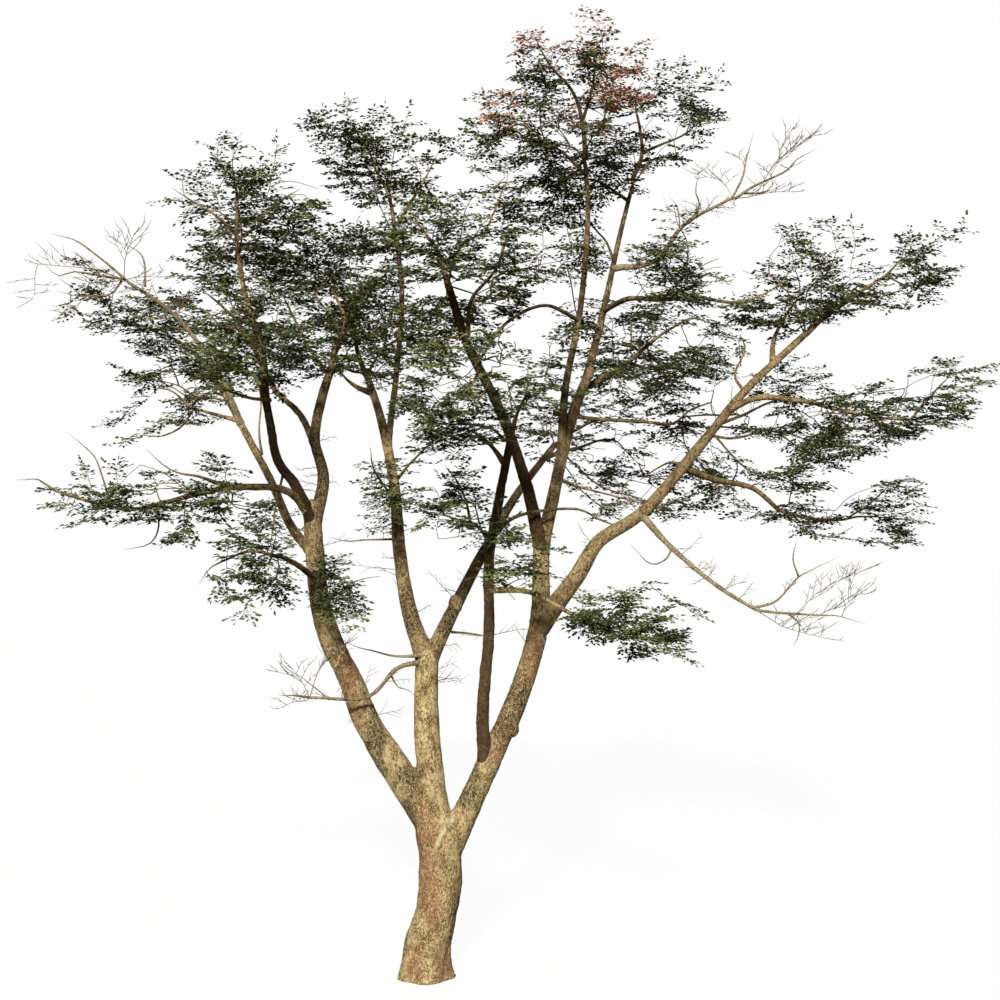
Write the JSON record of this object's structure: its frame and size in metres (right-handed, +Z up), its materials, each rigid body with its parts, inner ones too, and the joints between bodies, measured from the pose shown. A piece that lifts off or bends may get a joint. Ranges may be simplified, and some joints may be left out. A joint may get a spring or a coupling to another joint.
{
  "type": "acacia tree",
  "caption": "Tall open-crowned acacia tree: a flared trunk that forks into bare spreading stems, with flat layered sprays of small leaves and some dead limbs.",
  "frame": {"origin": "centre of the flat cut under the trunk, at the level ground", "axes": "+Z up the tree, +X to the right as the crown is seen from the front, +Y away from that view"},
  "size_m": [11.6362, 7.9255, 11.8],
  "materials": {
    "bark_pale": "rough pale tan bark, mottled",
    "bark_dark": "rough dark brown bark",
    "bark_dead": "dry weathered dead wood",
    "leaves_green": "matte dark green leaf",
    "leaves_reddish": "matte reddish new leaf",
    "dead_twigs": "dry bare twigs"
  },
  "bodies": {
    "root": {"arching_limb": "bark_pale", "back_right_bough": "bark_pale", "crossing_limb": "bark_dark", "dark_upright": "bark_dark", "inner_right_bough": "bark_pale", "left_back_bough": "bark_pale", "left_dark": "bark_dark", "left_dead_limb": "bark_dead", "left_hanging_bough": "bark_pale", "left_low_bough": "bark_pale", "left_outer": "bark_pale", "left_stem": "bark_pale", "left_top_bough": "bark_pale", "left_upright": "bark_pale", "level_bough": "bark_pale", "low_left_dead_limb": "bark_dead", "low_right_bough": "bark_pale", "middle_left_bough": "bark_pale", "middle_right_bough": "bark_pale", "middle_stem": "bark_pale", "middle_top_bough": "bark_pale", "right_bough": "bark_pale", "right_dead_limb": "bark_dead", "right_leader": "bark_pale", "right_low_bough": "bark_pale", "right_mid_bough": "bark_pale", "right_stem": "bark_pale", "top_dead_limb": "bark_dead", "top_left_limb": "bark_pale", "top_right_limb": "bark_pale", "trunk": "bark_pale", "arching_leaves": "leaves_green", "back_centre_leaves": "leaves_green", "back_right_leaves": "leaves_green", "centre_front_leaves": "leaves_green", "centre_left_leaves": "leaves_green", "crossing_leaves": "leaves_green", "dark_upright_leaves": "leaves_green", "inner_right_leaves": "leaves_green", "left_back_leaves": "leaves_green", "left_dead_twigs": "dead_twigs", "left_front_leaves": "leaves_green", "left_hanging_leaves": "leaves_green", "left_low_leaves": "leaves_green", "left_outer_leaves": "leaves_green", "left_stem_leaves": "leaves_green", "left_top_leaves": "leaves_green", "level_leaves": "leaves_green", "low_left_dead_twigs": "dead_twigs", "low_right_leaves": "leaves_green", "middle_front_leaves": "leaves_green", "middle_left_leaves": "leaves_green", "right_dead_twigs": "dead_twigs", "right_low_leaves": "leaves_green", "right_mid_leaves": "leaves_green", "right_top_leaves": "leaves_green", "top_dead_twigs": "dead_twigs", "top_left_leaves": "leaves_reddish", "top_right_leaves": "leaves_green", "upper_lobe_leaves": "leaves_green"}
  },
  "joints": []
}
